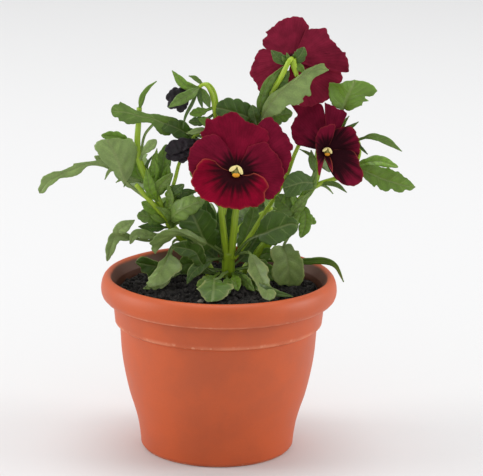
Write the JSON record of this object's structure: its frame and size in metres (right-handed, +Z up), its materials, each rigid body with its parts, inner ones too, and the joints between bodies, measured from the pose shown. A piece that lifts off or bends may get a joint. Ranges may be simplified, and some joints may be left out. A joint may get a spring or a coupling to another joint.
{
  "type": "potted pansy",
  "caption": "Flowering pansy with dark red blooms, wilted buds and leafy stems, growing from soil in a round tapered plastic pot with a rolled rim.",
  "frame": {"origin": "middle of the pot's flat foot, on the ground", "axes": "+Z up along the pot's axis; the plant's front, where the large bloom faces, is toward -Y; +X to the viewer's right"},
  "size_m": [0.2535, 0.1777, 0.2933],
  "materials": {
    "pot_plastic": "satin moulded plastic in a terracotta colour",
    "potting_soil": "loose crumbly potting mix, very matte",
    "foliage": "soft green leaves and juicy stems",
    "petals": "velvety thin petals with dark blotches",
    "flower_eye": "matte yellow centre",
    "wilted_petals": "shrivelled, near black, slightly sheeny"
  },
  "bodies": {
    "root": {"pot": "pot_plastic", "soil": "potting_soil", "shoot_centre": "foliage", "shoot_left": "foliage", "shoot_right": "foliage", "shoot_back": "foliage", "bloom_front": "petals", "bloom_front_eye": "flower_eye", "bloom_top": "petals", "bloom_top_eye": "flower_eye", "bloom_right": "petals", "bloom_right_eye": "flower_eye", "bud_upper": "wilted_petals", "bud_lower": "wilted_petals"}
  },
  "joints": []
}
